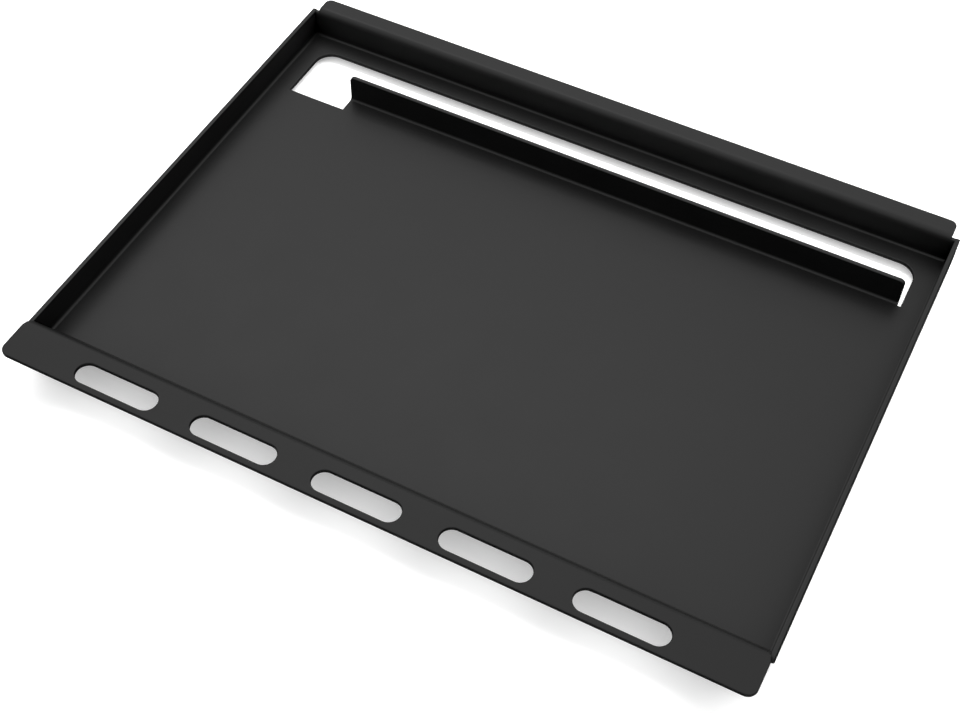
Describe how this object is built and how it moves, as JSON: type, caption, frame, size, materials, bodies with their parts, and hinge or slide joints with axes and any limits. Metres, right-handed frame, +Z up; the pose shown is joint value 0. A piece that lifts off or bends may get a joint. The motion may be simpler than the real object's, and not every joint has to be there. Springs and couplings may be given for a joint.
{
  "type": "flat top griddle",
  "caption": "Drop-in flat top griddle: folded steel tray with side walls, a vented front flange, a rear flange, and a rear grease slot behind an upturned lip.",
  "frame": {"origin": "centre of the bounding box at the underside of the rest bars", "axes": "+X across the tray from the drain side to the plain side, +Y from the front flange to the rear flange, +Z up from the cooking face"},
  "size_m": [0.62, 0.4818, 0.0394],
  "materials": {
    "cooking_surface": "satin black enamel",
    "enamel_walls": "satin black enamel",
    "enamel_flanges": "satin black enamel",
    "enamel_welds": "satin black enamel over weld beads",
    "enamel_underside": "satin black enamel"
  },
  "bodies": {
    "root": {"griddle_plate": "cooking_surface", "grease_lip": "enamel_walls", "left_side_wall": "enamel_walls", "right_side_wall": "enamel_walls", "front_wall": "enamel_walls", "front_flange": "enamel_flanges", "rear_wall": "enamel_walls", "rear_flange": "enamel_flanges", "front_left_weld": "enamel_welds", "front_right_weld": "enamel_welds", "rear_left_weld": "enamel_welds", "rear_right_weld": "enamel_welds", "front_rest_bar": "enamel_underside", "rear_rest_bar": "enamel_underside"}
  },
  "joints": []
}
